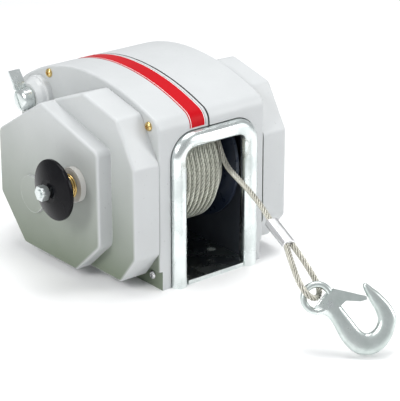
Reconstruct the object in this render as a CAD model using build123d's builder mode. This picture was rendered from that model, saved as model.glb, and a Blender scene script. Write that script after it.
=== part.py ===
# Electric rope winch with a guide hoop, a clutch knob and a snap hook.
# Millimetres. Z is up, X runs along the drum, and the rope leaves towards -Y.
# The origin is the centre of the four base holes, on the face that the winch stands on.
import os
from math import acos, cos, degrees, pi, radians, sin, sqrt, tan

from build123d import *

os.makedirs("parts", exist_ok=True)

# ---------- casing ----------
front_y = -110.0            # front face
rear_y = 109.0              # rear face
left_x = -63.5              # left side wall
right_x = 60.0              # right side wall
seam_x = -6.0               # joint between the two halves
seam_gap = 2.0              # gasket between the halves
crown_z = 184.6             # highest line of the arched top
crown_y = -1.0              # where the arch is highest
crown_front_radius = 262.0
crown_rear_radius = 190.0
corner_radius = 14.0        # upper front and rear corners
wall = 3.0
edge_radius = 2.5
foot_inset = 3.5            # the foot is narrower than the casing
foot_height = 22.0
inlet_x = 30.0              # cable inlet in the rear wall
inlet_z = 40.0
inlet_radius = 8.0

# ---------- covers ----------
left_step_x = -92.0         # step of the left cover
left_face_x = -107.5        # raised face of the left cover
right_face_x = 88.0
cover_bottom_z = 10.0
cover_edge_radius = 3.0
cover_corner_radius = 7.0
cover_gap = 0.2             # between a cover and the casing wall
step_setback = 33.0         # front of the raised face, behind the casing's front
crown_drop = 7.0            # the covers' top corner, below the crown
stripe_width = 18.0
stripe_margin = 3.0
stripe_thickness = 0.3
stripe_rear_y = 60.0
stripe_bottom_z = 150.5

# ---------- rope opening and guide hoop ----------
hoop_bar = 15.9
hoop_half = 41.8            # centre of a leg from the middle
hoop_y = -110.0
hoop_top_z = 139.9          # axis of the top bar
hoop_bend = 16.5
opening_half = 37.0
opening_top_z = 137.0
opening_radius = 13.0
bar_gap = 0.8               # casing's clearance round the hoop

# ---------- frame ----------
plate = 4.0                 # base plate
side_plate = 3.0
side_plate_x = 42.0         # inner faces of the side plates
base_front_y = -106.0
base_rear_y = 100.0
base_half = 52.0
tongue_half = 33.0          # front lip between the hoop's legs
tongue_y = -114.0
frame_front_y = -100.0
frame_top_z = 158.0
bolt_half_x = 30.0
bolt_half_y = 70.0
bolt_hole = 9.0

# ---------- drum and rope ----------
drum_y = -44.0
drum_z = 97.0
drum_flange_radius = 62.5
drum_flange = 3.0
drum_half = 33.0            # half of the drum's length over its flanges
drum_core_radius = 30.0
ratchet_width = 3.5
ratchet_radius = 57.5       # stays behind the hoop's left leg
ratchet_teeth = 40
ratchet_depth = 4.0
rope = 5.56
coil_radius = 60.0
coil_step_radius = 50.0     # lower layer beside the free rope
coil_step_x = 15.0
coil_gap = 0.3
shaft_radius = 8.0
bush = 3.0
bush_length = 8.0
running_gap = 0.05          # radial clearance of every shaft in its bush

# ---------- gears ----------
pressure_angle = 22.0
backlash = 0.35
final_module = 2.0
middle_module = 1.5
first_module = 1.25
drum_teeth = 56
final_pinion_teeth = 19
middle_teeth = 40
middle_pinion_teeth = 10
first_teeth = 40
motor_teeth = 10
middle_angle = -24.0        # direction from the drum's axis to the middle shaft
first_angle = 50.0          # from the middle shaft to the first shaft
motor_angle = -50.0         # from the first shaft to the motor
final_layer = -66.5         # inner face of each pair of gears
middle_layer = -77.0
first_layer = -86.0
final_width = 8.0
middle_width = 6.0
first_width = 5.0
middle_shaft_radius = 5.0
first_shaft_radius = 4.0
motor_shaft_radius = 3.0
motor_radius = 29.0
motor_length = 74.0
motor_wall = 2.5

# ---------- clutch ----------
collar_radius = 16.5
collar = 5.5
collar_gap = 0.3
washer_x = -122.0
washer = 0.8
spring_radius = 10.6
spring_wire = 2.0
spring_turns = 2.5
knob_radius = 28.5
knob_rim_x = -132.5         # middle plane of the knob's rim
knob_rim = 7.0
knob_dome = 5.0
knob_hub_radius = 13.5
knob_pitch = 2.0            # travel of the knob in one turn
knob_stop = 0.3             # what is left of the gap to the nut after that turn
nut_flats = 12.7
nut_height = 7.0
stud_radius = 4.0
shaft_end_x = -149.0

# ---------- pawl and its lever ----------
pawl_y = 72.5
pawl_z = 142.0
tower_radius = 19.0
tower_length = 14.0
lever_hub_radius = 11.0
lever_hub = 12.0
lever_length = 19.0
lever_width = 12.5
lever_sheet = 2.5
lever_angle = 58.0          # above the rearward direction
lever_bend = 6.0             # straight part of the strap below its bend
pawl_shaft_radius = 5.0
pawl_throw = 8.0            # turn from free to engaged, in degrees
ratchet_catch = 50.0        # where the pawl's hook catches a tooth, from the rear round the drum
pawl_gap = 0.8              # between the caught tooth and the hook, in degrees round the drum

# ---------- hook ----------
eye = Vector(-31.0, -285.0, 47.6)
hook_yaw = 39.0
hook_lean = 22.0
hook_thickness = 10.0
eye_radius = 14.5
eye_hole_radius = 8.6
latch_sheet = 1.2
latch_gap = 0.4
pin_radius = 1.6
ferrule_length = 34.0

# ---------- screws ----------
casing_screw_places = [(57.6, 168.0), (-96.3, 156.7)]
foot_screw_places = [(-95.8, 11.5), (94.0, 11.5)]
screw_shank = 1.9

drum_axis = (drum_y, drum_z)
pawl_axis = (pawl_y, pawl_z)


def polar(start, distance, angle):
    """A point in the YZ plane, at a distance and a direction from another."""
    return (start[0] + distance * cos(radians(angle)), start[1] + distance * sin(radians(angle)))


middle_axis = polar(drum_axis, final_module * (drum_teeth + final_pinion_teeth) / 2, middle_angle)
first_axis = polar(middle_axis, middle_module * (middle_teeth + middle_pinion_teeth) / 2, first_angle)
motor_axis = polar(first_axis, first_module * (first_teeth + motor_teeth) / 2, motor_angle)


def yz(x):
    """The plane across X at x: its own x is Y, its own y is Z, and it extrudes towards +X."""
    return Plane.YZ.offset(x)


def along_x(centre):
    """The plane through an axis along X: its own x is X, its own y is the height above the axis."""
    return Plane(origin=(0, centre[0], centre[1]), x_dir=(1, 0, 0), z_dir=(0, -1, 0))


def axis_x(centre):
    return Axis((0, centre[0], centre[1]), (1, 0, 0))


def save(piece, name):
    piece.label = name
    export_step(piece, f"parts/{name}.step")


def turned(name, centre, points, round_radius=0.0, rounded=()):
    """A turned piece: points are (x, radius) pairs of half of its section."""
    with BuildPart() as piece:
        with BuildSketch(along_x(centre)) as section:
            with BuildLine():
                Polyline(*points, close=True)
            make_face()
            if round_radius:
                corners = [v for v in section.vertices()
                           if any(abs(v.X - points[k][0]) + abs(v.Z - centre[1] - points[k][1]) < 0.01
                                  for k in rounded)]
                fillet(corners, round_radius)
        revolve(axis=axis_x(centre))
    save(piece.part, name)
    return piece.part


def tube(name, x0, x1, centre, outer, inner=0.0):
    """A plain round piece along X from x0 to x1."""
    return turned(name, centre, [(x0, inner), (x1, inner), (x1, outer), (x0, outer)])


# ======================================================================
# Casing
# ======================================================================

def crown_height(y, inset=0.0):
    """Height of the arch at y."""
    radius = (crown_front_radius if y < crown_y else crown_rear_radius) - inset
    return crown_z - inset - radius + sqrt(radius ** 2 - (y - crown_y) ** 2)


def casing_profile(inset, bottom):
    """Side view of the casing, drawn a wall smaller where inset is set."""
    front = front_y + inset
    rear = rear_y - inset
    half_front = (front + crown_y) / 2
    half_rear = (rear + crown_y) / 2
    top_front = (front, crown_height(front, inset))
    top_rear = (rear, crown_height(rear, inset))
    peak = (crown_y, crown_z - inset)
    with BuildSketch(Plane.XY) as profile:
        with BuildLine():
            Line((front, bottom), top_front)
            ThreePointArc(top_front, (half_front, crown_height(half_front, inset)), peak)
            ThreePointArc(peak, (half_rear, crown_height(half_rear, inset)), top_rear)
            Line(top_rear, (rear, bottom))
            Line((rear, bottom), (front, bottom))
        make_face()
        fillet(profile.vertices().filter_by(
            lambda v: v.Y > bottom + 1 and abs(v.X - crown_y) > 1), corner_radius - inset)
    return profile.sketch


def cover_outline():
    """Corners of a side cover, seen along X."""
    return [(front_y, 124), (front_y, 38), (front_y + 22, cover_bottom_z), (44, cover_bottom_z),
            (82, 52), (82, 116), (11, 160), (-35, crown_z - crown_drop), (front_y + 25, 165.5)]


def step_outline():
    """Corners of the left cover's raised face, seen along X."""
    front = front_y + step_setback
    return [(front, 135), (front, 44), (front + 37, cover_bottom_z), (44, cover_bottom_z),
            (82, 52), (82, 116), (11, 160)]


def outline_face(points, inset=0.0):
    """A filled outline with rounded corners; inset draws it smaller."""
    with BuildSketch(Plane.XY) as face:
        with BuildLine():
            Polyline(*points, close=True)
        make_face()
        fillet(face.vertices(), cover_corner_radius)
        if inset:
            offset(amount=-inset)
    return face.sketch


def opening_face():
    """The rope opening, seen along Y."""
    with BuildSketch(Plane.XY) as face:
        with Locations((0, opening_top_z / 2 - opening_radius)):
            RectangleRounded(2 * opening_half, opening_top_z + 2 * opening_radius, opening_radius)
    return face.sketch


def hoop_solid(radius):
    """The hoop's bent bar, or the groove that it lies in when the radius is larger."""
    with BuildPart() as bar:
        with BuildLine():
            FilletPolyline((-hoop_half, hoop_y, 0), (-hoop_half, hoop_y, hoop_top_z),
                           (hoop_half, hoop_y, hoop_top_z), (hoop_half, hoop_y, 0), radius=hoop_bend)
        with BuildSketch(Plane(origin=(-hoop_half, hoop_y, 0), z_dir=(0, 0, 1))):
            Circle(radius)
        sweep()
    return bar.part


def front_plane(y):
    """The plane across Y at y, seen from the front: it extrudes towards +Y."""
    return Plane(origin=(0, y, 0), x_dir=(-1, 0, 0), z_dir=(0, 1, 0))


def casing_half(name, outer_x, inner_x, side, holes):
    """One half shell: side is -1 for the left half and 1 for the right."""
    length = abs(outer_x - inner_x)
    middle_y = (front_y + rear_y) / 2
    foot_x = outer_x - side * foot_inset
    with BuildPart() as half:
        with BuildSketch(yz(outer_x)):
            add(casing_profile(0, 0))
        extrude(amount=-side * length)
        rim = half.faces().sort_by(Axis.X)[-1 if side > 0 else 0].edges()
        fillet(rim.filter_by(lambda edge: edge.center().Z > 1), edge_radius)
        with BuildSketch(yz(outer_x - side * wall)):
            add(casing_profile(wall, -1))
        extrude(amount=-side * length, mode=Mode.SUBTRACT)
        # the side wall steps inwards to a narrower foot
        with Locations((foot_x - side * wall / 2, middle_y, foot_height / 2)):
            Box(wall, rear_y - front_y - 2 * edge_radius, foot_height)
        with Locations((outer_x, middle_y, (foot_height - wall) / 2)):
            Box(2 * foot_inset, rear_y - front_y + 2, foot_height - wall, mode=Mode.SUBTRACT)
        with BuildSketch(front_plane(front_y - 20)):
            add(opening_face())
        extrude(amount=40, mode=Mode.SUBTRACT)
        add(hoop_solid(hoop_bar / 2 + bar_gap), mode=Mode.SUBTRACT)
        for centre, radius in holes:
            with BuildSketch(yz(outer_x + side)):
                with Locations(centre):
                    Circle(radius)
            extrude(amount=-side * (wall + foot_inset + 2), mode=Mode.SUBTRACT)
        if side > 0:
            with BuildSketch(front_plane(rear_y - wall - 1)):
                with Locations((-inlet_x, inlet_z)):
                    Circle(inlet_radius + 0.2)
            extrude(amount=wall + 2, mode=Mode.SUBTRACT)
    save(half.part, name)


def cover_shell(name, inner_x, outer_x, side, raised_x=None, bosses=()):
    """A side cover, open towards the casing; the left one has a raised face on its step."""
    depth = abs(outer_x - inner_x)
    face_x = outer_x if raised_x is None else raised_x
    with BuildPart() as cover:
        with BuildSketch(yz(inner_x)):
            add(outline_face(cover_outline()))
        extrude(amount=side * depth)
        rim = cover.faces().filter_by(Axis.X).sort_by(Axis.X)[-1 if side > 0 else 0].edges()
        fillet(rim, cover_edge_radius)
        if raised_x is not None:
            with BuildSketch(yz(inner_x)):
                add(outline_face(step_outline()))
            extrude(amount=side * abs(raised_x - inner_x))
            fillet(cover.faces().filter_by(Axis.X).sort_by(Axis.X)[0].edges(), cover_edge_radius)
            with BuildSketch(yz(inner_x)):
                add(outline_face(step_outline(), inset=wall))
            extrude(amount=side * (abs(raised_x - inner_x) - wall), mode=Mode.SUBTRACT)
        with BuildSketch(yz(inner_x)):
            add(outline_face(cover_outline(), inset=wall))
        extrude(amount=side * (depth - wall), mode=Mode.SUBTRACT)
        # bosses: centre, outer radius, bore radius, height outside, depth inside, closed or not
        for centre, radius, bore, proud, deep, closed in bosses:
            with BuildSketch(yz(face_x - side * deep)):
                with Locations(centre):
                    Circle(radius)
            extrude(amount=side * (deep + proud))
            with BuildSketch(yz(face_x - side * deep)):
                with Locations(centre):
                    Circle(bore)
            extrude(amount=side * (deep + proud - (2.0 if closed else -1.0)), mode=Mode.SUBTRACT)
    save(cover.part, name)


motor_hole = motor_shaft_radius + 5.0
wall_shaft_holes = [(drum_axis, shaft_radius + 4), (middle_axis, middle_shaft_radius + 2),
                    (first_axis, first_shaft_radius + 2), (motor_axis, motor_hole),
                    (pawl_axis, pawl_shaft_radius + 0.5)]
screw_holes = [(place, screw_shank + 0.05) for place in casing_screw_places + foot_screw_places]
casing_half("casing_left", left_x, seam_x - seam_gap / 2 - 0.05, -1, wall_shaft_holes + screw_holes)
casing_half("casing_right", right_x, seam_x + seam_gap / 2 + 0.05, 1, screw_holes)

cover_bosses = [(drum_axis, shaft_radius + bush + 4, shaft_radius + bush, 0.0, 10.0, False),
                (middle_axis, 18.0, middle_shaft_radius + 2, 3.0, 9.0, True),
                (first_axis, 9.0, first_shaft_radius + 2, 0.0, 10.0, True)]
cover_shell("gear_cover", left_x - cover_gap, left_step_x, -1, left_face_x, cover_bosses)
cover_shell("motor_cover", right_x + cover_gap, right_face_x, 1)

with BuildPart() as seam_gasket:
    with BuildSketch(yz(seam_x - seam_gap / 2)):
        add(casing_profile(0.4, 0))
        add(casing_profile(wall, -1), mode=Mode.SUBTRACT)
    extrude(amount=seam_gap)
    with BuildSketch(front_plane(front_y - 20)):
        add(opening_face())
    extrude(amount=40, mode=Mode.SUBTRACT)
    add(hoop_solid(hoop_bar / 2 + bar_gap), mode=Mode.SUBTRACT)
save(seam_gasket.part, "seam_gasket")

with BuildPart() as label_stripe:
    with BuildSketch(yz(seam_x - seam_gap / 2 - stripe_margin - stripe_width)):
        add(casing_profile(-stripe_thickness, 0))
        add(casing_profile(-0.02, -1), mode=Mode.SUBTRACT)
    extrude(amount=stripe_width)
    with Locations((0, stripe_rear_y + 100, crown_z)):
        Box(200, 200, 200, mode=Mode.SUBTRACT)
    with Locations((0, 0, stripe_bottom_z - 100)):
        Box(200, 400, 200, mode=Mode.SUBTRACT)
save(label_stripe.part, "label_stripe")

# ======================================================================
# Frame
# ======================================================================

with BuildPart() as base_plate:
    with BuildSketch():
        with Locations((0, (base_front_y + base_rear_y) / 2)):
            Rectangle(2 * base_half, base_rear_y - base_front_y)
        with Locations((0, base_front_y)):
            Rectangle(2 * tongue_half, 2 * (base_front_y - tongue_y))
        with GridLocations(2 * bolt_half_x, 2 * bolt_half_y, 2, 2):
            Circle(bolt_hole / 2, mode=Mode.SUBTRACT)
    extrude(amount=plate)
    add(hoop_solid(hoop_bar / 2 + 0.02), mode=Mode.SUBTRACT)
save(base_plate.part, "base_plate")

save(hoop_solid(hoop_bar / 2), "guide_hoop")


def frame_side(name, x0, rear, holes):
    """An upright plate beside the drum, with its shaft holes."""
    with BuildPart() as side:
        with BuildSketch(yz(x0)):
            with BuildLine():
                Polyline((frame_front_y, plate), (rear, plate), (rear, frame_top_z - 20),
                         (rear - 20, frame_top_z), (frame_front_y + 30, frame_top_z),
                         (frame_front_y, frame_top_z - 30), close=True)
            make_face()
            for centre, radius in holes:
                with Locations(centre):
                    Circle(radius, mode=Mode.SUBTRACT)
        extrude(amount=side_plate)
    save(side.part, name)


frame_side("side_plate_left", -side_plate_x - side_plate, base_rear_y - 4,
           [(drum_axis, shaft_radius + bush), (middle_axis, middle_shaft_radius + 2),
            (first_axis, first_shaft_radius + 2), (motor_axis, motor_hole),
            (pawl_axis, pawl_shaft_radius + running_gap)])
frame_side("side_plate_right", side_plate_x, 20.0, [(drum_axis, shaft_radius + bush)])

# flanged bushes in the side plates and the gear cover
bush_outer = shaft_radius + bush
tube("drum_bush_left", -side_plate_x - side_plate - 2, -side_plate_x + 2, drum_axis, bush_outer,
     shaft_radius + running_gap)
tube("drum_bush_right", side_plate_x - 2, side_plate_x + side_plate + 2, drum_axis, bush_outer,
     shaft_radius + running_gap)
tube("cover_bush", left_face_x + 0.2, left_face_x + 9.5, drum_axis, bush_outer, shaft_radius + running_gap)


def pair(name, spans, centre, outer, inner):
    """Two round pieces on one axis, kept together in one node."""
    with BuildPart() as pieces:
        for x0, x1 in spans:
            with BuildSketch(yz(x0)):
                with Locations(centre):
                    Circle(outer)
                    Circle(inner, mode=Mode.SUBTRACT)
            extrude(amount=x1 - x0)
    save(pieces.part, name)


plate_span = (-side_plate_x - side_plate - 1, -side_plate_x - 0.3)
pair("middle_bushes", [(left_face_x - 0.8, left_face_x + 8), plate_span], middle_axis,
     middle_shaft_radius + 2, middle_shaft_radius + running_gap)
pair("first_bushes", [(left_face_x + 2.2, left_face_x + 9), plate_span], first_axis,
     first_shaft_radius + 2, first_shaft_radius + running_gap)

# ======================================================================
# Gears
# ======================================================================

def gear_points(centre, teeth, module, phase):
    """Outline of a spur gear with involute flanks; phase turns it, in degrees."""
    pitch_radius = module * teeth / 2
    base_radius = pitch_radius * cos(radians(pressure_angle))
    tip_radius = pitch_radius + 0.85 * module
    root_radius = pitch_radius - 1.15 * module
    involute_at_pitch = tan(radians(pressure_angle)) - radians(pressure_angle)
    half_tooth = (pi * module / 2 - backlash / 2) / (2 * pitch_radius)

    def half_angle(radius):
        at = acos(min(1.0, base_radius / radius))
        return half_tooth + involute_at_pitch - (tan(at) - at)

    start_radius = max(base_radius, root_radius + 0.2 * module)
    steps = [start_radius + (tip_radius - start_radius) * k / 4 for k in range(5)]
    flank = [(root_radius, half_angle(start_radius))] + [(r, half_angle(r)) for r in steps]
    points = []
    for k in range(teeth):
        middle = radians(phase) + 2 * pi * k / teeth
        points += [polar(centre, r, degrees(middle - a)) for r, a in flank]
        points += [polar(centre, r, degrees(middle + a)) for r, a in reversed(flank)]
    return points


def mesh_phase(teeth, other_teeth, other_phase, direction):
    """Phase of a gear that has a gap where the other gear, which it lies in that direction of, has a tooth."""
    offset_teeth = (direction - other_phase) * other_teeth / 360
    return direction + 180 + 180 / teeth + (offset_teeth % 1.0) * 360 / teeth


def spur_gear(name, centre, x0, width, teeth, module, phase, bore, hub=0.0, hole_ring=0.0, hole=0.0):
    """A gear on an axis along X, from x0 outwards, with an optional hub on its outer side."""
    with BuildPart() as gear:
        with BuildSketch(yz(x0)):
            with BuildLine():
                Polyline(*gear_points(centre, teeth, module, phase), close=True)
            make_face()
            with Locations(centre):
                Circle(bore, mode=Mode.SUBTRACT)
            if hole:
                with Locations(centre):
                    with PolarLocations(hole_ring, 6):
                        Circle(hole, mode=Mode.SUBTRACT)
        extrude(amount=-width)
        if hub:
            with BuildSketch(yz(x0 - width)):
                with Locations(centre):
                    Circle(bore + 4)
                    Circle(bore, mode=Mode.SUBTRACT)
            extrude(amount=-hub)
    save(gear.part, name)


drum_phase = 0.0
final_phase = mesh_phase(final_pinion_teeth, drum_teeth, drum_phase, middle_angle)
middle_phase = final_phase
middle_pinion_phase = mesh_phase(middle_pinion_teeth, middle_teeth, middle_phase, first_angle)
first_phase = middle_pinion_phase
motor_phase = mesh_phase(motor_teeth, first_teeth, first_phase, motor_angle)

spur_gear("drum_gear", drum_axis, final_layer, final_width, drum_teeth, final_module, drum_phase,
          shaft_radius + running_gap, hub=3.0, hole_ring=34.0, hole=9.0)
spur_gear("final_pinion", middle_axis, final_layer + 0.5, final_width + 1, final_pinion_teeth, final_module,
          final_phase, middle_shaft_radius)
spur_gear("middle_gear", middle_axis, middle_layer, middle_width, middle_teeth, middle_module, middle_phase,
          middle_shaft_radius, hub=3.0, hole_ring=18.0, hole=5.0)
spur_gear("middle_pinion", first_axis, middle_layer + 0.5, middle_width + 1, middle_pinion_teeth,
          middle_module, middle_pinion_phase, first_shaft_radius)
spur_gear("first_gear", first_axis, first_layer, first_width, first_teeth, first_module, first_phase,
          first_shaft_radius, hole_ring=14.5, hole=4.0)
spur_gear("motor_pinion", motor_axis, first_layer + 0.5, first_width + 1, motor_teeth, first_module,
          motor_phase, motor_shaft_radius)

tube("middle_shaft", left_face_x - 0.4, -side_plate_x - 0.5, middle_axis, middle_shaft_radius)
tube("first_shaft", left_face_x + 2.6, -side_plate_x - 0.5, first_axis, first_shaft_radius)

# ======================================================================
# Motor
# ======================================================================

motor_x = -side_plate_x + 0.2
with BuildPart() as motor_can:
    with BuildSketch(yz(motor_x)):
        with Locations(motor_axis):
            Circle(motor_radius)
    extrude(amount=motor_length)
    fillet(motor_can.edges().filter_by(GeomType.CIRCLE), 2.0)
    with BuildSketch(yz(motor_x + 3)):
        with Locations(motor_axis):
            Circle(motor_radius - motor_wall)
    extrude(amount=motor_length, mode=Mode.SUBTRACT)
    with BuildSketch(yz(motor_x - 1)):
        with Locations(motor_axis):
            Circle(motor_shaft_radius + 0.6)
    extrude(amount=6, mode=Mode.SUBTRACT)
save(motor_can.part, "motor_can")

bell_x = motor_x + motor_length
turned("motor_end_bell", motor_axis,
       [(bell_x + 0.1, 0), (bell_x + 0.1, motor_radius), (bell_x + 7, motor_radius),
        (bell_x + 11, motor_radius - 5), (bell_x + 11, 8), (bell_x + 14, 8), (bell_x + 14, 0)])
tube("motor_armature", motor_x + 10, bell_x - 10, motor_axis, motor_radius - motor_wall - 6,
     motor_shaft_radius)
tube("motor_shaft", first_layer - first_width - 1.5, bell_x - 2, motor_axis, motor_shaft_radius)

# ======================================================================
# Drum, shaft and wound rope
# ======================================================================

turned("drum", drum_axis,
       [(-drum_half, shaft_radius), (drum_half, shaft_radius), (drum_half, drum_flange_radius),
        (drum_half - drum_flange, drum_flange_radius), (drum_half - drum_flange - 1, drum_core_radius),
        (-drum_half + drum_flange + 1, drum_core_radius), (-drum_half + drum_flange, drum_flange_radius),
        (-drum_half, drum_flange_radius)], 1.2, (2, 3, 6, 7))
coil_left = -drum_half + drum_flange + 1.3
coil_right = drum_half - drum_flange - 1.3
turned("wound_rope", drum_axis,
       [(coil_left, drum_core_radius + 0.1), (coil_right, drum_core_radius + 0.1),
        (coil_right, coil_step_radius), (coil_step_x, coil_step_radius), (coil_step_x, coil_radius),
        (coil_left, coil_radius)], 4.0, (4,))
tube("drum_shaft", left_face_x - collar_gap - collar, side_plate_x + side_plate + 4, drum_axis, shaft_radius)

ratchet_x = -drum_half - 0.3 - ratchet_width
with BuildPart() as ratchet_wheel:
    with BuildSketch(yz(ratchet_x)):
        tooth_points = []
        for k in range(ratchet_teeth):
            at = ratchet_catch + 360 * k / ratchet_teeth
            tooth_points.append(polar(drum_axis, ratchet_radius, at))
            tooth_points.append(polar(drum_axis, ratchet_radius - ratchet_depth, at))
        with BuildLine():
            Polyline(*tooth_points, close=True)
        make_face()
        with Locations(drum_axis):
            Circle(shaft_radius, mode=Mode.SUBTRACT)
    extrude(amount=ratchet_width)
save(ratchet_wheel.part, "ratchet_wheel")

# ======================================================================
# Clutch: friction disc, collar, spring, knob and nut
# ======================================================================

tube("friction_disc", final_layer - final_width - 3.3, final_layer - final_width - 5.8, drum_axis, 24.0,
     shaft_radius)
tube("pressure_plate", final_layer - final_width - 6.0, final_layer - final_width - 9.0, drum_axis, 26.0,
     shaft_radius)
face_outer_x = left_face_x - collar_gap
collar_end_x = face_outer_x - collar
turned("knob_collar", drum_axis,
       [(face_outer_x, shaft_radius), (face_outer_x, collar_radius), (collar_end_x, collar_radius),
        (collar_end_x, shaft_radius)], 1.5, (2,))
tube("clutch_stud", shaft_end_x, collar_end_x, drum_axis, stud_radius)

# the washer rides along the stud with the knob, which turns on the washer
tube("thrust_washer", washer_x, washer_x - washer, drum_axis, 12.8, stud_radius + running_gap)

spring_start = collar_end_x - spring_wire / 2 - 0.3
spring_length = spring_start - (washer_x + 0.3 + spring_wire / 2)
with BuildPart() as clutch_spring:
    with BuildLine():
        coil = Helix(pitch=spring_length / spring_turns, height=spring_length, radius=spring_radius,
                     center=(spring_start, drum_y, drum_z), direction=(-1, 0, 0))
    with BuildSketch(coil ^ 0):
        Circle(spring_wire / 2)
    sweep(is_frenet=True)
save(clutch_spring.part, "clutch_spring")

hub_x = washer_x - washer - 0.2
knob_back_x = knob_rim_x + knob_rim / 2
knob_front_x = knob_rim_x - knob_rim / 2
knob_top_x = knob_front_x - knob_dome + 2.5
nut_x = knob_top_x - knob_pitch - knob_stop
stud_hole = stud_radius + running_gap
tube("knob_hub", hub_x, knob_back_x + 1.0, drum_axis, knob_hub_radius, stud_hole)
with BuildPart() as clutch_knob:
    with BuildSketch(along_x(drum_axis)) as section:
        with BuildLine():
            Polyline((knob_top_x, stud_hole), (knob_back_x + 1.0, stud_hole), (knob_back_x + 1.0, 15.0),
                     (knob_back_x - 0.5, 17.0), (knob_back_x - 0.5, knob_radius), (knob_front_x + 2.5, knob_radius))
            ThreePointArc((knob_front_x + 2.5, knob_radius), (knob_front_x - 0.2, knob_radius * 0.72),
                          (knob_top_x, 11.0))
            Line((knob_top_x, 11.0), (knob_top_x, stud_hole))
        make_face()
    revolve(axis=axis_x(drum_axis))
    fillet(clutch_knob.edges().filter_by(GeomType.CIRCLE).filter_by(
        lambda e: abs(e.radius - knob_radius) < 0.01), 1.4)
save(clutch_knob.part, "clutch_knob")

with BuildPart() as knob_nut:
    with BuildSketch(yz(nut_x)):
        with Locations(drum_axis):
            RegularPolygon(nut_flats / 2, 6, major_radius=False)
            Circle(stud_radius, mode=Mode.SUBTRACT)
    extrude(amount=-nut_height)
    with BuildSketch(along_x(drum_axis)):
        with BuildLine():
            Polyline((nut_x + 1, 0), (nut_x + 1, nut_flats / 2 + 0.6), (nut_x - 1.2, nut_flats / 2 + 2),
                     (nut_x - nut_height + 1.2, nut_flats / 2 + 2), (nut_x - nut_height - 1, nut_flats / 2 + 0.6),
                     (nut_x - nut_height - 1, 0), close=True)
        make_face()
    revolve(axis=axis_x(drum_axis), mode=Mode.INTERSECT)
save(knob_nut.part, "knob_nut")

# ======================================================================
# Pawl, its shaft and its lever
# ======================================================================

tower_x = left_x - 0.05
tower_end_x = left_x - tower_length
with BuildPart() as lever_tower:
    with BuildSketch(along_x(pawl_axis)):
        with BuildLine():
            Polyline((tower_x, pawl_shaft_radius + 0.5), (tower_x, tower_radius + 1),
                     (tower_x - 5, tower_radius + 1), (tower_x - 6, tower_radius - 0.5),
                     (tower_end_x + 4, tower_radius - 1.5), (tower_end_x, tower_radius - 5),
                     (tower_end_x, pawl_shaft_radius + 0.5), close=True)
        make_face()
    revolve(axis=axis_x(pawl_axis))
    with BuildSketch(yz(left_x + 1)):
        with BuildLine():
            Polyline(*cover_outline(), close=True)
        make_face()
        offset(amount=0.4, kind=Kind.INTERSECTION)
    extrude(amount=-40, mode=Mode.SUBTRACT)
save(lever_tower.part, "lever_tower")

lever_hub_x = tower_end_x - 0.6
hub_end_x = lever_hub_x - lever_hub
with BuildPart() as lever_hub_piece:
    with BuildSketch(along_x(pawl_axis)):
        with BuildLine():
            Polyline((hub_end_x, 0), (hub_end_x + 3, 0), (hub_end_x + 3, pawl_shaft_radius),
                     (lever_hub_x, pawl_shaft_radius), (lever_hub_x, lever_hub_radius),
                     (hub_end_x + 3, lever_hub_radius))
            ThreePointArc((hub_end_x + 3, lever_hub_radius), (hub_end_x + 0.9, lever_hub_radius - 2.1),
                          (hub_end_x, lever_hub_radius - 5))
            Line((hub_end_x, lever_hub_radius - 5), (hub_end_x, 0))
        make_face()
    revolve(axis=axis_x(pawl_axis))
    with Locations(Location((hub_end_x, pawl_y, pawl_z), (lever_angle, 0, 0))):
        Box(3.0, 2 * lever_hub_radius, 2.4, mode=Mode.SUBTRACT)
save(lever_hub_piece.part, "lever_hub")

# the strap is bent from sheet: it leaves the hub, then leans a little further back
strap_root = polar(pawl_axis, lever_hub_radius - 0.4, lever_angle)
strap_bend = polar(strap_root, lever_bend, lever_angle + 12)
strap_tip = polar(strap_bend, lever_length - lever_bend, lever_angle - 6)
strap_x = (lever_hub_x + hub_end_x) / 2
with BuildPart() as lever_strap:
    with BuildSketch(yz(strap_x - lever_width / 2)):
        with BuildLine():
            Polyline(strap_root, strap_bend, strap_tip)
        trace(line_width=lever_sheet)
    extrude(amount=lever_width)
save(lever_strap.part, "pawl_lever")

tube("pawl_shaft", hub_end_x + 3, -29.0, pawl_axis, pawl_shaft_radius)

# the hooked pawl is drawn in its caught place, then turned back to its free place
ratchet_root = ratchet_radius - ratchet_depth
hook_at = ratchet_catch + pawl_gap
with BuildPart() as pawl:
    with BuildSketch(yz(ratchet_x - 0.2)):
        with Locations(pawl_axis):
            Circle(10.0)
        with BuildLine():
            Polyline((pawl_y - 4, pawl_z + 9), polar(drum_axis, ratchet_root + 14, hook_at + 4),
                     polar(drum_axis, ratchet_root + 2.2, hook_at + 1.4),
                     polar(drum_axis, ratchet_root + 1.2, hook_at),
                     polar(drum_axis, ratchet_radius + 2.5, hook_at), (pawl_y - 4, pawl_z - 9), close=True)
        make_face()
        with Locations(pawl_axis):
            Circle(pawl_shaft_radius, mode=Mode.SUBTRACT)
    extrude(amount=ratchet_width)
save(pawl.part.rotate(axis_x(pawl_axis), -pawl_throw), "pawl")

# ======================================================================
# Rope, ferrule and hook
# ======================================================================

def cord_radii(points):
    """One bend radius for each corner of a route."""
    radii = []
    for before, corner, after in zip(points, points[1:], points[2:]):
        run_in = corner - before
        run_out = after - corner
        half = radians(run_in.get_angle(run_out)) / 2
        radii.append(0.45 * min(run_in.length, run_out.length) / tan(half))
    return radii


def cord_tube(name, points):
    """A round rope along straight runs and arcs."""
    radii = cord_radii(points)
    with BuildPart() as cord:
        with BuildLine():
            route = FilletPolyline(*points, radius=radii)
        with BuildSketch(route ^ 0):
            Circle(rope / 2)
        sweep()
    save(cord.part, name)
    print(name, "length", round(route.length, 2), "radii", [round(r, 1) for r in radii],
          "volume ratio", round(cord.part.volume / (route.length * pi * rope ** 2 / 4), 4))


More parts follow.
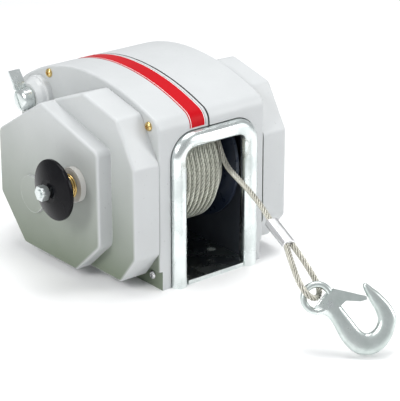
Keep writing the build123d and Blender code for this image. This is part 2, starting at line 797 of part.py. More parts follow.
rope_x = 20.5
ferrule_start = Vector(-12.0, -203.6, 86.2)
cord_tube("rope_free", [Vector(*p) for p in [
    (rope_x, -37.0, 150.1), (rope_x, -56.0, 151.4), (rope_x, -84.0, 136.5), (19.3, -101.0, 103.5),
    (7.8, -134.5, 101.0), (0.0, -163.0, 97.5), (-8.0, -190.0, 91.5)]] + [ferrule_start])

hook_normal = Vector(-sin(radians(hook_yaw)) * cos(radians(hook_lean)),
                     -cos(radians(hook_yaw)) * cos(radians(hook_lean)), sin(radians(hook_lean)))
hook_plane = Plane(origin=eye, x_dir=(cos(radians(hook_yaw)), -sin(radians(hook_yaw)), 0),
                   z_dir=hook_normal)


def on_hook(x, y, z=0.0):
    """A point given from the hook's eye: right, up and towards the front."""
    return hook_plane.from_local_coords(Vector(x, y, z))


ferrule_way = (on_hook(-21.5, 43.5, -32.0) - ferrule_start).normalized()
ferrule_end = ferrule_start + ferrule_way * ferrule_length
loop_side = on_hook(-20.0, 44.0, -33.0) - on_hook(-23.0, 43.0, -31.0)
loop_side = (loop_side - ferrule_way * loop_side.dot(ferrule_way)).normalized()
with BuildPart() as rope_ferrule:
    with BuildSketch(Plane(origin=ferrule_start, x_dir=loop_side, z_dir=ferrule_way)):
        SlotOverall(12.6, 8.6)
    extrude(amount=ferrule_length)
    fillet(rope_ferrule.faces().filter_by(lambda f: abs(f.normal_at().dot(ferrule_way)) > 0.99).edges(), 1.2)
save(rope_ferrule.part, "rope_ferrule")

lobe = rope / 2 + 0.15
cord_tube("rope_loop", [ferrule_end - loop_side * lobe, on_hook(-19, 20, 4), on_hook(-10, 3, 11.5),
                        on_hook(1, -2, 0), on_hook(4, 11, -15), ferrule_end + loop_side * lobe])

with BuildPart() as hook:
    with BuildSketch(hook_plane) as bowl:
        with BuildLine():
            Polyline((0, -13), (8.1, -15.7), (13.8, -23.1), (21.7, -37.1), (31.7, -46.1), (41.9, -48.3),
                     (52, -45.5), (61.5, -35.9), (66.9, -19.1), (63.2, -7.3), (53.1, 3.9), (40.5, 13.3),
                     (38.0, 10.5), (42.4, 0.6), (49.6, -11.5), (51.3, -18.5), (49.2, -25.3),
                     (44.5, -29.2), (40.2, -29.8), (35.5, -26.2), (13.2, 3.9), (4, 3.9), close=True)
        make_face()
        fillet(bowl.vertices(), 2.0)
    extrude(amount=hook_thickness / 2, both=True)
    chamfer(hook.faces().filter_by(lambda f: abs(f.normal_at().dot(hook_normal)) > 0.99).edges(), 1.2)
    # the eye is a ring with a rounded section
    with BuildSketch(Plane(origin=eye, x_dir=hook_plane.x_dir, z_dir=hook_plane.y_dir)):
        with Locations(((eye_radius + eye_hole_radius) / 2, 0)):
            RectangleRounded(eye_radius - eye_hole_radius, hook_thickness, 2.6)
    revolve(axis=Axis(eye, hook_normal))
    with BuildSketch(hook_plane):
        Circle(eye_hole_radius)
    extrude(amount=hook_thickness, both=True, mode=Mode.SUBTRACT)
    with BuildSketch(hook_plane):
        with Locations((10.7, -5)):
            Circle(pin_radius)
    extrude(amount=hook_thickness, both=True, mode=Mode.SUBTRACT)
save(hook.part, "hook")

latch_inner = hook_thickness / 2 + latch_gap
latch_outer = latch_inner + latch_sheet
latch_line = [(4.5, -9.5), (5.5, -0.5), (14.0, 8.0), (41.2, 1.8), (41.8, -1.0), (36.0, -2.6), (24.0, -2.0), (15.5, -10.5)]
with BuildPart() as hook_latch:
    with BuildSketch(hook_plane):
        with BuildLine():
            Polyline(*latch_line, close=True)
        make_face()
    extrude(amount=latch_outer, both=True)
    with BuildSketch(hook_plane):
        with BuildLine():
            Polyline((3.0, -14.0), (3.0, 12.0), (14.4, 12.0), (14.4, 6.6), (42.5, 0.2), (42.5, -14.0), close=True)
        make_face()
    extrude(amount=latch_inner, both=True, mode=Mode.SUBTRACT)
    with BuildSketch(hook_plane):
        with Locations((10.7, -5)):
            Circle(pin_radius + running_gap)
    extrude(amount=hook_thickness, both=True, mode=Mode.SUBTRACT)
save(hook_latch.part, "hook_latch")

with BuildPart() as latch_rivet:
    with BuildSketch(hook_plane):
        with Locations((10.7, -5)):
            Circle(pin_radius)
    extrude(amount=latch_outer + 0.3, both=True)
    for side in (1, -1):
        with BuildSketch(hook_plane.offset(side * (latch_outer + 0.2))):
            with Locations((10.7, -5)):
                Circle(pin_radius + 1.4)
        extrude(amount=side * 1.4)
save(latch_rivet.part, "latch_rivet")

# ======================================================================
# Screws and cable inlet
# ======================================================================

def screw_group(name, places, head_radius, head_height, shank_radius, shank_length):
    """Cross-head screws along X: places are (x of the seat, y, z, side)."""
    with BuildPart() as group:
        for x, y, z, side in places:
            top = x + side * head_height
            with BuildSketch(along_x((y, z))):
                with BuildLine():
                    Polyline((top, 0), (x - side * shank_length, 0), (x - side * shank_length, shank_radius),
                             (x, shank_radius), (x, head_radius), (x + side * head_height * 0.4, head_radius))
                    ThreePointArc((x + side * head_height * 0.4, head_radius),
                                  (x + side * head_height * 0.8, head_radius * 0.85), (top, head_radius * 0.55))
                    Line((top, head_radius * 0.55), (top, 0))
                make_face()
            revolve(axis=axis_x((y, z)))
            with Locations((top, y, z)):
                Box(2.4, head_radius * 1.1, 1.1, mode=Mode.SUBTRACT)
                Box(2.4, 1.1, head_radius * 1.1, mode=Mode.SUBTRACT)
    save(group.part, name)


def both_sides(places, inset):
    """The same places on the left and on the right wall."""
    left = [(left_x + inset - 0.05, y, z, -1) for y, z in places]
    return left + [(right_x - inset + 0.05, y, z, 1) for y, z in places]


screw_group("casing_screws", both_sides(casing_screw_places, 0), 4.25, 2.6, screw_shank, 2.6)
screw_group("foot_screws", both_sides(foot_screw_places, foot_inset), 4.0, 2.2, screw_shank, 2.6)

with BuildPart() as cable_gland:
    with BuildSketch(front_plane(rear_y - wall - 8)):
        with Locations((-inlet_x, inlet_z)):
            Circle(inlet_radius)
            Circle(4.2, mode=Mode.SUBTRACT)
    extrude(amount=wall + 20)
    with BuildSketch(front_plane(rear_y + 0.05)):
        with Locations((-inlet_x, inlet_z)):
            RegularPolygon(inlet_radius + 3, 6, major_radius=False)
            Circle(4.2, mode=Mode.SUBTRACT)
    extrude(amount=5)
save(cable_gland.part, "cable_gland")

with BuildPart() as gland_nut:
    with BuildSketch(Plane(origin=(inlet_x, 0, inlet_z), x_dir=(1, 0, 0), z_dir=(0, 0, 1))):
        with BuildLine():
            Polyline((4.2, rear_y + 15.3), (4.2, rear_y + 21), (7.0, rear_y + 21), (10.5, rear_y + 16),
                     (10.5, rear_y + 6), (8.2, rear_y + 6), (8.2, rear_y + 15.3), close=True)
        make_face()
    revolve(axis=Axis((inlet_x, 0, inlet_z), (0, 1, 0)))
save(gland_nut.part, "gland_nut")
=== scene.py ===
import bpy
import bmesh
import math
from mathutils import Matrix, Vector


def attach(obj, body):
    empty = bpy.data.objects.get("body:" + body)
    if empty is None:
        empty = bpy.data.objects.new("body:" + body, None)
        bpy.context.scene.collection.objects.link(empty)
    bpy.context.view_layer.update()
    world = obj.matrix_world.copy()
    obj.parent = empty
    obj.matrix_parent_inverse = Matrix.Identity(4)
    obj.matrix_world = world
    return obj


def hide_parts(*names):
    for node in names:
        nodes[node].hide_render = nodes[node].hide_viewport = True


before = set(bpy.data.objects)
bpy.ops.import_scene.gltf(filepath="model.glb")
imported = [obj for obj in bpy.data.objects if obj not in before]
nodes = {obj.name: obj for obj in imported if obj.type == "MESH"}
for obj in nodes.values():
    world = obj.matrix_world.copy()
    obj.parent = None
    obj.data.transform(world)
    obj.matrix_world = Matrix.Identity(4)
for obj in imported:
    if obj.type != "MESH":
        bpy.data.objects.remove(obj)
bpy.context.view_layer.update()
print("frame loaded:", len(nodes), "nodes")


def mm(*values):
    return Vector(values) / 1000


# camera and light

view = {"eye": mm(-993.9, -1313.1, 700.9), "forward": Vector((0.585, 0.720, -0.3727)), "lens": 164.3}


def setCamera():
    data = bpy.data.cameras.new("viewCamera")
    data.lens = view["lens"]
    data.sensor_width = 36
    data.clip_end = 20
    camera = bpy.data.objects.new("viewCamera", data)
    camera.location = view["eye"]
    camera.rotation_euler = view["forward"].to_track_quat("-Z", "Y").to_euler()
    bpy.context.scene.collection.objects.link(camera)
    bpy.context.scene.camera = camera


def softLight(name, position, target, width, height, power):
    data = bpy.data.lights.new(name, "AREA")
    data.shape = "RECTANGLE"
    data.size, data.size_y = width, height
    data.energy = power
    light = bpy.data.objects.new(name, data)
    light.location = position
    light.rotation_euler = (Vector(target) - Vector(position)).to_track_quat("-Z", "Y").to_euler()
    bpy.context.scene.collection.objects.link(light)


# shader helpers

class Wire:  # a socket that takes part in sums
    def __init__(self, tree, socket):
        self.tree, self.socket = tree, socket

    def maths(self, operation, *others):
        node = self.tree.nodes.new("ShaderNodeMath")
        node.operation = operation
        for socket, value in zip(node.inputs, (self,) + others):
            if isinstance(value, Wire):
                self.tree.links.new(value.socket, socket)
            else:
                socket.default_value = value
        return Wire(self.tree, node.outputs[0])

    def flipped(self, operation, first):
        node = self.tree.nodes.new("ShaderNodeMath")
        node.operation = operation
        node.inputs[0].default_value = first
        self.tree.links.new(self.socket, node.inputs[1])
        return Wire(self.tree, node.outputs[0])

    def __add__(self, other): return self.maths("ADD", other)
    def __radd__(self, other): return self.maths("ADD", other)
    def __sub__(self, other): return self.maths("SUBTRACT", other)
    def __rsub__(self, other): return self.flipped("SUBTRACT", other)
    def __mul__(self, other): return self.maths("MULTIPLY", other)
    def __rmul__(self, other): return self.maths("MULTIPLY", other)
    def __gt__(self, other): return self.maths("GREATER_THAN", other)
    def __lt__(self, other): return self.maths("LESS_THAN", other)


class Finish:  # one material and the nodes that it is made of
    def __init__(self, name):
        self.material = bpy.data.materials.new(name)
        self.material.use_nodes = True
        self.tree = self.material.node_tree
        self.shader = self.tree.nodes["Principled BSDF"]
        self.places = self.node("ShaderNodeTexCoord")

    def node(self, kind, settings=None, sockets=None):
        made = self.tree.nodes.new(kind)
        for key, value in (settings or {}).items():
            setattr(made, key, value)
        for key, value in (sockets or {}).items():
            self.feed(made.inputs[key], value)
        return made

    def feed(self, socket, value):
        if isinstance(value, Wire):
            self.tree.links.new(value.socket, socket)
        elif isinstance(value, bpy.types.NodeSocket):
            self.tree.links.new(value, socket)
        elif isinstance(value, (tuple, list)) and len(socket.default_value) == 4:
            socket.default_value = tuple(value)[:3] + (1,)
        else:
            socket.default_value = value

    def set(self, **values):
        for key, value in values.items():
            self.feed(self.shader.inputs[key], value)

    def at(self):
        return self.places.outputs["Object"]

    def axis(self, letter):
        parts = self.node("ShaderNodeSeparateXYZ", sockets={0: self.at()})
        return Wire(self.tree, parts.outputs[letter])

    def noise(self, scale, detail=3.0, roughness=0.55, stretch=(1, 1, 1)):
        placed = self.node("ShaderNodeMapping", sockets={"Vector": self.at(), "Scale": stretch})
        made = self.node("ShaderNodeTexNoise", sockets={
            "Vector": placed.outputs[0], "Scale": scale, "Detail": detail, "Roughness": roughness})
        return Wire(self.tree, made.outputs[0])

    def blendColours(self, factor, first, second):
        made = self.node("ShaderNodeMix", {"data_type": "RGBA"})
        self.feed(made.inputs[0], factor)
        self.feed(made.inputs[6], first)
        self.feed(made.inputs[7], second)
        return made.outputs[2]

    def ranged(self, value, low, high, toLow=0.0, toHigh=1.0):
        made = self.node("ShaderNodeMapRange", {"clamp": True}, {
            "Value": value, "From Min": low, "From Max": high, "To Min": toLow, "To Max": toHigh})
        return Wire(self.tree, made.outputs[0])

    def flatness(self, spread):  # 1 on a flat surface, less at a sharp edge
        bevel = self.node("ShaderNodeBevel", {"samples": 4}, {"Radius": spread})
        plain = self.node("ShaderNodeNewGeometry")
        dot = self.node("ShaderNodeVectorMath", {"operation": "DOT_PRODUCT"},
                        {0: bevel.outputs[0], 1: plain.outputs["Normal"]})
        return Wire(self.tree, dot.outputs["Value"])

    def bump(self, height, strength, distance):
        made = self.node("ShaderNodeBump", sockets={
            "Height": height, "Strength": strength, "Distance": distance})
        self.tree.links.new(made.outputs[0], self.shader.inputs["Normal"])


def mouldedPlastic(name, colour, shade, rough=0.42, grain=0.12):
    f = Finish(name)
    cloudy = f.ranged(f.noise(14, 4), 0.3, 0.7)
    f.set(**{"Base Color": f.blendColours(cloudy, colour, shade),
             "Roughness": f.ranged(f.noise(60, 3), 0.3, 0.7, rough - 0.05, rough + 0.06),
             "Specular IOR Level": 0.45})
    f.bump(f.noise(2600, 2), grain, 0.0002)
    return f.material


def casingPlastic(look):  # grey moulding: painted shade on its left-facing sides, stronger towards the bottom, and painted highlights along its edges
    f = Finish("casingGrey")
    cloudy = f.ranged(f.noise(12, 4), 0.3, 0.7)
    body = f.blendColours(cloudy, look["colour"], look["shade"])
    surface = f.node("ShaderNodeNewGeometry")
    normal = f.node("ShaderNodeSeparateXYZ", sockets={0: surface.outputs["Normal"]})
    # painted shade: faces turned to -X are darkened a little all over and more towards the bottom
    facing = f.ranged(0 - Wire(f.tree, normal.outputs["X"]), 0.6, 1.0)
    low = f.ranged(f.axis("Z") + f.noise(9, 3) * 0.03, look["paintedShadeFrom"], look["paintedShadeTo"], 1.0, 0.0)
    body = f.blendColours(facing * low * look["paintedShade"] + facing * 0.1, body, look["paintedShadeColour"])
    # painted highlight: pale lines along the sharp edges, broken up by noise
    edgeHighlight = f.ranged(f.flatness(look["edge"]), 0.985, 0.93)
    highlightBreakup = f.ranged(f.noise(70, 4), 0.4, 0.6)
    body = f.blendColours(edgeHighlight * highlightBreakup * 0.6, body, look["edgeHighlightColour"])
    specks = f.ranged(f.noise(420, 1), 0.74, 0.78)
    body = f.blendColours(specks * 0.35, body, look["speckColour"])
    f.set(**{"Base Color": body, "Roughness": f.ranged(f.noise(60, 3), 0.3, 0.7, 0.36, 0.48),
             "Specular IOR Level": 0.4})
    f.bump(f.noise(2600, 2), 0.1, 0.0002)
    return f.material


def printedStripe(look):  # red film with a pale pinstripe on its left and a black hairline on its right
    f = Finish("labelRed")
    x = f.axis("X") * 1000
    body = f.blendColours(f.ranged(f.noise(30, 3), 0.3, 0.7), look["red"], look["deepRed"])
    pale = (x > look["pinFrom"]) * (x < look["pinTo"])
    body = f.blendColours(pale, body, look["pale"])
    body = f.blendColours(x > look["redTo"], body, look["pale"])
    body = f.blendColours(x > look["hairFrom"], body, look["black"])
    f.set(**{"Base Color": body, "Roughness": 0.45, "Specular IOR Level": 0.12})
    f.bump(f.noise(900, 2), 0.03, 0.0002)
    return f.material


def glossyPlastic(name, colour, rough=0.12):
    f = Finish(name)
    smudge = f.ranged(f.noise(40, 5), 0.35, 0.75)
    f.set(**{"Base Color": f.blendColours(smudge, colour, tuple(c * 1.6 + 0.004 for c in colour)),
             "Roughness": f.ranged(smudge, 0, 1, rough, rough + 0.1), "Specular IOR Level": 0.1})
    f.bump(f.noise(300, 2), 0.03, 0.0003)
    return f.material


def platedMetal(name, colour, shade, rough=0.22, brushed=(1, 1, 1), grain=0.06):
    f = Finish(name)
    patches = f.ranged(f.noise(32, 5), 0.3, 0.7)
    fine = f.noise(900, 3, stretch=brushed)
    f.set(**{"Base Color": f.blendColours(patches, colour, shade),
             "Roughness": f.ranged(patches * 0.6 + fine * 0.4, 0.3, 0.75, rough - 0.06, rough + 0.12),
             "Metallic": 1.0})
    f.bump(fine, grain, 0.0002)
    return f.material


def paintedSteel(name, colour, rough=0.35):
    f = Finish(name)
    dust = f.ranged(f.noise(26, 5), 0.45, 0.8)
    f.set(**{"Base Color": f.blendColours(dust, colour, tuple(c * 1.5 + 0.01 for c in colour)),
             "Roughness": f.ranged(f.noise(90, 4), 0.3, 0.7, rough - 0.08, rough + 0.12),
             "Coat Weight": 0.25, "Coat Roughness": 0.3})
    f.bump(f.noise(420, 3), 0.12, 0.0003)
    return f.material


def wireRope(name, colour, shade, dark):
    f = Finish(name)
    greasy = f.ranged(f.noise(55, 4), 0.3, 0.72)
    wires = f.noise(1500, 2)
    base = f.blendColours(greasy, colour, shade)
    f.set(**{"Base Color": f.blendColours(f.ranged(wires, 0.35, 0.55, 0.55, 0), base, dark),
             "Roughness": f.ranged(greasy, 0, 1, 0.34, 0.5), "Metallic": 0.55})
    f.bump(wires, 0.5, 0.0003)
    return f.material


materials = {
    "casing": casingPlastic({
        # painted shade: a dark greenish colour laid on the left-facing sides, strongest low down
        "colour": (0.56, 0.575, 0.58), "shade": (0.51, 0.525, 0.53), "paintedShade": 0.95, "paintedShadeFrom": 0.02,
        "paintedShadeTo": 0.17, "paintedShadeColour": (0.15, 0.18, 0.13), "edge": 0.0012,
        # painted highlight: the pale colour laid along the casing's edges
        "edgeHighlightColour": (0.80, 0.81, 0.82), "speckColour": (0.30, 0.31, 0.31)}),
    "gasket": mouldedPlastic("gasketBlack", (0.008, 0.008, 0.009), (0.02, 0.02, 0.02), 0.6, 0.3),
    "stripe": printedStripe({
        "red": (0.50, 0.0, 0.006), "deepRed": (0.43, 0.0, 0.005), "pale": (0.80, 0.80, 0.80),
        "black": (0.012, 0.012, 0.012), "pinFrom": -27.0, "pinTo": -26.4, "redTo": -11.2,
        "hairFrom": -10.45}),
    "zinc": platedMetal("brightZinc", (0.86, 0.90, 0.89), (0.60, 0.65, 0.64), 0.24, (1, 1, 0.15), 0.15),
    "forged": platedMetal("forgedZinc", (0.90, 0.95, 0.93), (0.48, 0.54, 0.52), 0.30, (1, 1, 1), 0.4),
    "framePaint": paintedSteel("framePaint", (0.035, 0.04, 0.05), 0.42),
    "drumPaint": paintedSteel("drumPaint", (0.012, 0.018, 0.035), 0.3),
    "rope": wireRope("galvanisedRope", (0.72, 0.73, 0.64), (0.50, 0.51, 0.44), (0.10, 0.10, 0.08)),
    # the same rope as the coil in a lighter copy of its finish: painted light on the free rope, painted
    # shade on the coil
    "freeRope": wireRope("galvanisedRopePaintedLighter", (0.76, 0.74, 0.66), (0.52, 0.51, 0.44),
                         (0.12, 0.11, 0.09)),
    # painted shade: near-black finish for the rope's core, seen only between the strands, and for the
    # cylinder under the coil's turns
    "ropeGapShade": wireRope("paintedGapShade", (0.055, 0.05, 0.035), (0.03, 0.028, 0.02),
                         (0.01, 0.01, 0.008)),
    "steel": platedMetal("machinedSteel", (0.42, 0.42, 0.43), (0.30, 0.30, 0.31), 0.3, (1, 8, 8)),
    "bronze": platedMetal("bushBronze", (0.50, 0.33, 0.14), (0.38, 0.24, 0.10), 0.32),
    "gold": platedMetal("yellowZinc", (0.80, 0.60, 0.24), (0.66, 0.47, 0.20), 0.24),
    "silver": platedMetal("screwSteel", (0.82, 0.82, 0.82), (0.66, 0.66, 0.67), 0.18),
    "black": glossyPlastic("knobBlack", (0.003, 0.003, 0.004)),
    "hubBlack": mouldedPlastic("hubBlack", (0.012, 0.012, 0.013), (0.02, 0.02, 0.02), 0.4, 0.05),
    "pale": mouldedPlastic("collarPale", (0.66, 0.65, 0.62), (0.58, 0.57, 0.54), 0.35, 0.05),
    "motor": paintedSteel("motorBlack", (0.012, 0.012, 0.013), 0.25),
    "ferrule": platedMetal("ferruleAluminium", (0.82, 0.82, 0.82), (0.70, 0.70, 0.71), 0.32),
}
print("materials:", len(materials))

nodeFinish = {
    "casing": ["casing_left", "casing_right", "gear_cover", "motor_cover", "lever_tower"],
    "gasket": ["seam_gasket"],
    "stripe": ["label_stripe"],
    "zinc": ["base_plate", "guide_hoop", "lever_hub", "pawl_lever", "pawl_shaft", "pawl", "knob_nut",
             "clutch_stud", "latch_rivet"],
    "forged": ["hook", "hook_latch"],
    "framePaint": ["side_plate_left", "side_plate_right"],
    "drumPaint": ["drum", "ratchet_wheel"],
    "rope": ["wound_rope"],
    "freeRope": ["rope_free", "rope_loop"],
    "ferrule": ["rope_ferrule"],
    "steel": ["drum_shaft", "middle_shaft", "first_shaft", "motor_shaft", "final_pinion", "middle_gear",
              "middle_pinion", "first_gear", "motor_pinion", "drum_gear", "pressure_plate",
              "thrust_washer", "motor_armature"],
    "bronze": ["drum_bush_left", "drum_bush_right", "cover_bush", "middle_bushes", "first_bushes",
               "friction_disc"],
    "gold": ["casing_screws", "clutch_spring"],
    "silver": ["foot_screws"],
    "black": ["clutch_knob"],
    "hubBlack": ["knob_hub", "cable_gland", "gland_nut"],
    "pale": ["knob_collar"],
    "motor": ["motor_can", "motor_end_bell"],
}


def paint(obj, key):
    obj.data.materials.clear()
    obj.data.materials.append(materials[key])


for key, members in nodeFinish.items():
    for member in members:
        paint(nodes[member], key)


def newPiece(name, bm, key, smooth=True):
    mesh = bpy.data.meshes.new(name)
    bm.to_mesh(mesh)
    bm.free()
    obj = bpy.data.objects.new(name, mesh)
    bpy.context.scene.collection.objects.link(obj)
    obj.data.materials.append(materials[key])
    if smooth:
        mesh.polygons.foreach_set("use_smooth", [True] * len(mesh.polygons))
    return obj


# ropes: strands are laid round a route by geometry nodes

rope = {"diameter": 0.00556, "strands": 6, "lay": 0.027, "sides": 7, "reach": 0.72,
        "strandShare": 0.275, "coreShare": 0.5}


def strandTree():
    tree = bpy.data.node_groups.new("ropeStrands", "GeometryNodeTree")
    made = tree.interface
    made.new_socket("Geometry", in_out="INPUT", socket_type="NodeSocketGeometry")
    for label, kind, value in (("Strands", "NodeSocketInt", 6), ("Rope radius", "NodeSocketFloat", 0.0028),
                               ("Lay", "NodeSocketFloat", 0.034), ("Sides", "NodeSocketInt", 7),
                               ("Step", "NodeSocketFloat", 0.003), ("Finish", "NodeSocketMaterial", None),
                               ("Core finish", "NodeSocketMaterial", None)):
        socket = made.new_socket(label, in_out="INPUT", socket_type=kind)
        if value is not None:
            socket.default_value = value
    made.new_socket("Geometry", in_out="OUTPUT", socket_type="NodeSocketGeometry")
    link = tree.links.new

    def node(kind, **settings):
        new = tree.nodes.new(kind)
        for key, value in settings.items():
            setattr(new, key, value)
        return new

    def sums(operation, first, second):
        new = node("ShaderNodeMath", operation=operation)
        for socket, value in zip(new.inputs, (first, second)):
            if isinstance(value, (int, float)):
                socket.default_value = value
            else:
                link(value, socket)
        return new.outputs[0]

    def vectors(operation, first, second):
        new = node("ShaderNodeVectorMath", operation=operation)
        link(first, new.inputs[0])
        link(second, new.inputs["Scale"] if operation == "SCALE" else new.inputs[1])
        return new.outputs[0]

    take = node("NodeGroupInput").outputs
    even = node("GeometryNodeResampleCurve", mode="LENGTH")
    link(take["Geometry"], even.inputs["Curve"])
    link(take["Step"], even.inputs["Length"])
    copies = node("GeometryNodeDuplicateElements", domain="SPLINE")
    link(even.outputs[0], copies.inputs["Geometry"])
    link(take["Strands"], copies.inputs["Amount"])
    along = node("GeometryNodeSplineParameter").outputs["Length"]
    turns = sums("ADD", sums("DIVIDE", along, take["Lay"]),
                 sums("DIVIDE", copies.outputs["Duplicate Index"], take["Strands"]))
    angle = sums("MULTIPLY", turns, 2 * math.pi)
    reach = sums("MULTIPLY", take["Rope radius"], rope["reach"])
    normal = node("GeometryNodeInputNormal").outputs[0]
    across = vectors("CROSS_PRODUCT", node("GeometryNodeInputTangent").outputs[0], normal)
    offset = vectors("ADD", vectors("SCALE", normal, sums("MULTIPLY", sums("COSINE", angle, 0), reach)),
                     vectors("SCALE", across, sums("MULTIPLY", sums("SINE", angle, 0), reach)))
    laid = node("GeometryNodeSetPosition")
    link(copies.outputs["Geometry"], laid.inputs["Geometry"])
    link(offset, laid.inputs["Offset"])
    both = node("GeometryNodeJoinGeometry")
    # the core takes the near-black core finish: painted shade between the strands
    for curve, share, coat in ((laid.outputs[0], rope["strandShare"], "Finish"),
                               (even.outputs[0], rope["coreShare"], "Core finish")):
        ring = node("GeometryNodeCurvePrimitiveCircle")
        link(take["Sides"], ring.inputs["Resolution"])
        link(sums("MULTIPLY", take["Rope radius"], share), ring.inputs["Radius"])
        skin = node("GeometryNodeCurveToMesh")
        link(curve, skin.inputs["Curve"])
        link(ring.outputs["Curve"], skin.inputs["Profile Curve"])
        skin.inputs["Fill Caps"].default_value = True
        coated = node("GeometryNodeSetMaterial")
        link(skin.outputs[0], coated.inputs["Geometry"])
        link(take[coat], coated.inputs["Material"])
        link(coated.outputs[0], both.inputs[0])
    finish = node("GeometryNodeRealizeInstances")
    link(both.outputs[0], finish.inputs[0])
    link(finish.outputs[0], node("NodeGroupOutput").inputs[0])
    return tree


def routeCurve(name, points, kind="NURBS"):
    data = bpy.data.curves.new(name, "CURVE")
    data.dimensions = "3D"
    data.resolution_u = 24
    spline = data.splines.new(kind)
    spline.points.add(len(points) - 1)
    for point, place in zip(spline.points, points):
        point.co = (*place, 1)
    if kind == "NURBS":
        spline.order_u = 3
        spline.use_endpoint_u = True
    obj = bpy.data.objects.new(name, data)
    bpy.context.scene.collection.objects.link(obj)
    return obj


def evaluatedMesh(obj, name):
    bpy.context.view_layer.update()
    ready = obj.evaluated_get(bpy.context.evaluated_depsgraph_get())
    mesh = bpy.data.meshes.new_from_object(ready)
    mesh.name = name
    return mesh


def linePoints(obj):  # the points that the route's smooth line passes through
    mesh = evaluatedMesh(obj, "line")
    points = [v.co.copy() for v in mesh.vertices]
    bpy.data.meshes.remove(mesh)
    return points


def applyTree(obj, tree, name, values):
    modifier = obj.modifiers.new(tree.name, "NODES")
    modifier.node_group = tree
    for item in tree.interface.items_tree:
        if item.in_out == "INPUT" and item.name in values:
            modifier[item.identifier] = values[item.name]
    mesh = evaluatedMesh(obj, name)
    bpy.data.objects.remove(obj)
    made = bpy.data.objects.new(name, mesh)
    bpy.context.scene.collection.objects.link(made)
    mesh.polygons.foreach_set("use_smooth", [True] * len(mesh.polygons))
    return made


ropeTree = strandTree()


def strands(name, route, key, step=0.0028):
    return applyTree(route, ropeTree, name, {
        "Strands": rope["strands"], "Rope radius": rope["diameter"] / 2, "Lay": rope["lay"],
        "Sides": rope["sides"], "Step": step, "Finish": materials[key],
        "Core finish": materials["ropeGapShade"]})


hookEye = mm(-31.0, -285.0, 47.6)
hookYaw, hookLean = math.radians(39), math.radians(22)
hookRight = Vector((math.cos(hookYaw), -math.sin(hookYaw), 0))
hookFront = Vector((-math.sin(hookYaw) * math.cos(hookLean), -math.cos(hookYaw) * math.cos(hookLean),
                    math.sin(hookLean)))
hookUp = hookFront.cross(hookRight)


def onHook(x, y, z=0.0):
    return hookEye + (hookRight * x + hookUp * y + hookFront * z) / 1000


ferruleStart = mm(-12.0, -203.6, 86.2)
ferruleWay = (onHook(-21.5, 43.5, -32.0) - ferruleStart).normalized()
ferruleEnd = ferruleStart + ferruleWay * 0.034
loopSide = onHook(-20.0, 44.0, -33.0) - onHook(-23.0, 43.0, -31.0)
loopSide = (loopSide - ferruleWay * loopSide.dot(ferruleWay)).normalized()

freeRoute = [mm(20.5, -37, 150.1), mm(20.5, -56, 151.4), mm(20.5, -84, 136.5), mm(19.3, -101, 103.5),
             mm(7.8, -134.5, 101), mm(0, -163, 97.5), mm(-8, -190, 91.5), ferruleStart]
loopRoute = [ferruleEnd - loopSide * 0.00293, onHook(-19, 20, 4), onHook(-10, 3, 11.5), onHook(1, -2, 0),
             onHook(4, 11, -15), ferruleEnd + loopSide * 0.00293]

freeLine = routeCurve("freeLine", freeRoute)
loopLine = routeCurve("loopLine", loopRoute)
freePath = linePoints(freeLine)
loopPath = linePoints(loopLine)
ropeFree = strands("ropeFree", freeLine, "freeRope")
ropeLoop = strands("ropeLoop", loopLine, "freeRope", 0.0018)


# wound rope: eight turns on the upper layer, then a step down beside the right flange

coil = {"y": -44.0, "z": 97.0, "upper": 57.2, "lower": 47.2, "from": -28.6, "step": 15.0, "to": 27.8,
        "pitch": 5.62}


def woundRoute():
    points = []
    count = 40
    x, angle = coil["from"] + 2.8, 0.0
    while x < coil["to"] - 2.8:
        radius = coil["upper"] if x < coil["step"] - 2.8 else coil["lower"]
        points.append(mm(x, coil["y"] + radius * math.cos(angle), coil["z"] + radius * math.sin(angle)))
        angle += 2 * math.pi / count
        x += coil["pitch"] / count
    return points


woundRope = strands("woundRope", routeCurve("woundLine", woundRoute(), "POLY"), "rope", 0.0036)


def coreCylinder():  # closes the view between the turns with the near-black core finish: a painted shade sheet under the coil
    bm = bmesh.new()
    section = [(-28.5, 31), (-28.5, 55.4), (14.2, 55.4), (15.4, 45.4), (27.9, 45.4), (27.9, 31)]
    around = 72
    rings = []
    for k in range(around):
        a = 2 * math.pi * k / around
        rings.append([bm.verts.new(mm(x, coil["y"] + r * math.cos(a), coil["z"] + r * math.sin(a)))
                      for x, r in section])
    for k in range(around):
        here, there = rings[k], rings[(k + 1) % around]
        for j in range(len(section)):
            n = (j + 1) % len(section)
            bm.faces.new((here[j], here[n], there[n], there[j]))
    bmesh.ops.recalc_face_normals(bm, faces=bm.faces)
    return newPiece("ropeGapShade", bm, "ropeGapShade", False)


ropeGapShade = coreCylinder()
print("rope strands laid")


# hook: a forged bowl that grows out of the eye

forging = {"around": 24, "steps": 6, "thick": 4.9, "taperFrom": 0.78, "taper": 0.55, "square": 0.8}
eye = {"radius": 11.55, "bar": 2.95, "thick": 4.9, "square": 0.75, "around": 56, "sides": 20}
hookPairs = [((-4, -10.5), (9.5, 7)), ((2.5, -14), (13, 2.5)), ((8.1, -15.7), (16.5, -1.5)),
             ((13.8, -23.1), (22.5, -9.5)), ((21.7, -37.1), (30.5, -19.8)), ((31.7, -46.1), (36.2, -26.8)),
             ((41.9, -48.3), (41.2, -29.9)), ((52, -45.5), (46.2, -28.2)), ((61.5, -35.9), (50, -23.6)),
             ((66.9, -19.1), (51.2, -17.6)), ((63.2, -7.3), (49.2, -10.8)), ((53.1, 3.9), (45.4, -4.4)),
             ((46.2, 9.2), (41.6, 2.8)), ((41.6, 12.6), (38.8, 8.6)), ((39.6, 12.7), (38.9, 11.2))]


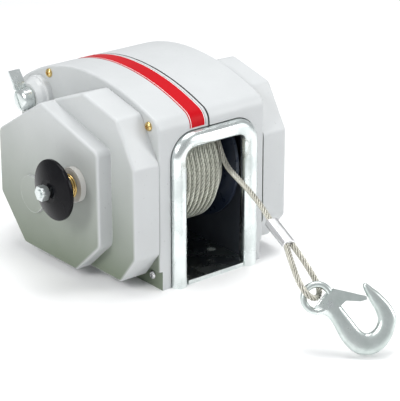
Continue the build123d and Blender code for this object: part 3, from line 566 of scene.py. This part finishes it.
def smoothed(values, steps):
    out = []
    for k in range(len(values) - 1):
        a, b = values[max(k - 1, 0)], values[k]
        c, d = values[k + 1], values[min(k + 2, len(values) - 1)]
        for j in range(steps):
            t = j / steps
            out.append(tuple(0.5 * (2 * q + (r - p) * t + (2 * p - 5 * q + 4 * r - s) * t * t
                                    + (3 * q - p - 3 * r + s) * t ** 3) for p, q, r, s in zip(a, b, c, d)))
    out.append(tuple(values[-1]))
    return out


def squared(angle, power):  # a point of a ring that is a little square
    return [math.copysign(abs(v) ** power, v) for v in (math.cos(angle), math.sin(angle))]


def skinLoops(bm, loops, closed):
    following = loops[1:] + loops[:1] if closed else loops[1:]
    for here, there in zip(loops, following):
        for j in range(len(here)):
            n = (j + 1) % len(here)
            bm.faces.new((here[j], here[n], there[n], there[j]))


def forgedHook():
    bm = bmesh.new()
    outer = smoothed([p[0] for p in hookPairs], forging["steps"])
    inner = smoothed([p[1] for p in hookPairs], forging["steps"])
    loops = []
    for k, (o, i) in enumerate(zip(outer, inner)):
        middle = ((o[0] + i[0]) / 2, (o[1] + i[1]) / 2)
        half = ((o[0] - i[0]) / 2, (o[1] - i[1]) / 2)
        toTip = max(0, (k / len(outer) - forging["taperFrom"]) / (1 - forging["taperFrom"]))
        thick = forging["thick"] * (1 - forging["taper"] * toTip ** 2)
        loop = []
        for j in range(forging["around"]):
            c, s = squared(2 * math.pi * j / forging["around"], forging["square"])
            loop.append(bm.verts.new(onHook(middle[0] + half[0] * c, middle[1] + half[1] * c, thick * s)))
        loops.append(loop)
    skinLoops(bm, loops, False)
    bm.faces.new(loops[0])
    bm.faces.new(list(reversed(loops[-1])))
    eyeLoops = []
    for k in range(eye["around"]):
        a = 2 * math.pi * k / eye["around"]
        loop = []
        for j in range(eye["sides"]):
            c, s = squared(2 * math.pi * j / eye["sides"], eye["square"])
            r = eye["radius"] + eye["bar"] * c
            loop.append(bm.verts.new(onHook(r * math.cos(a), r * math.sin(a), eye["thick"] * s)))
        eyeLoops.append(loop)
    skinLoops(bm, eyeLoops, True)
    bmesh.ops.recalc_face_normals(bm, faces=bm.faces)
    return newPiece("forgedHook", bm, "forged")


hookBody = forgedHook()
print("hook forged")


# floor

def floor():
    bm = bmesh.new()
    bmesh.ops.create_grid(bm, x_segments=1, y_segments=1, size=4.0)
    return newPiece("floor", bm, "floor", False)


def floorFinish():
    f = Finish("paleFloor")
    f.set(**{"Base Color": f.blendColours(f.noise(3, 2), (0.93, 0.93, 0.93), (0.95, 0.95, 0.95)),
             "Roughness": 0.6})
    return f.material


materials["floor"] = floorFinish()
floor()

# lights

world = bpy.data.worlds.new("studio")
world.use_nodes = True
background = world.node_tree.nodes["Background"].inputs
background["Color"].default_value = (0.96, 0.98, 1.0, 1)
background["Strength"].default_value = 0.5
bpy.context.scene.world = world
bpy.context.scene.view_settings.view_transform = "Standard"
softLight("frontRight", (1.2, -1.5, 0.8), (0, -0.05, 0.1), 0.7, 0.9, 15)
softLight("above", (0.2, 0.1, 1.7), (0, -0.05, 0.1), 1.0, 1.0, 19)
softLight("upperLeft", (-1.5, -0.3, 1.1), (-0.1, 0, 0.17), 0.6, 0.6, 16)
setCamera()

for piece, names, body in ((ropeFree, ["rope_free"], "frame"), (ropeLoop, ["rope_loop"], "frame"),
                           (woundRope, ["wound_rope"], "drum"), (hookBody, ["hook"], "hook")):
    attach(piece, body)
    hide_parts(*names)
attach(ropeGapShade, "drum")
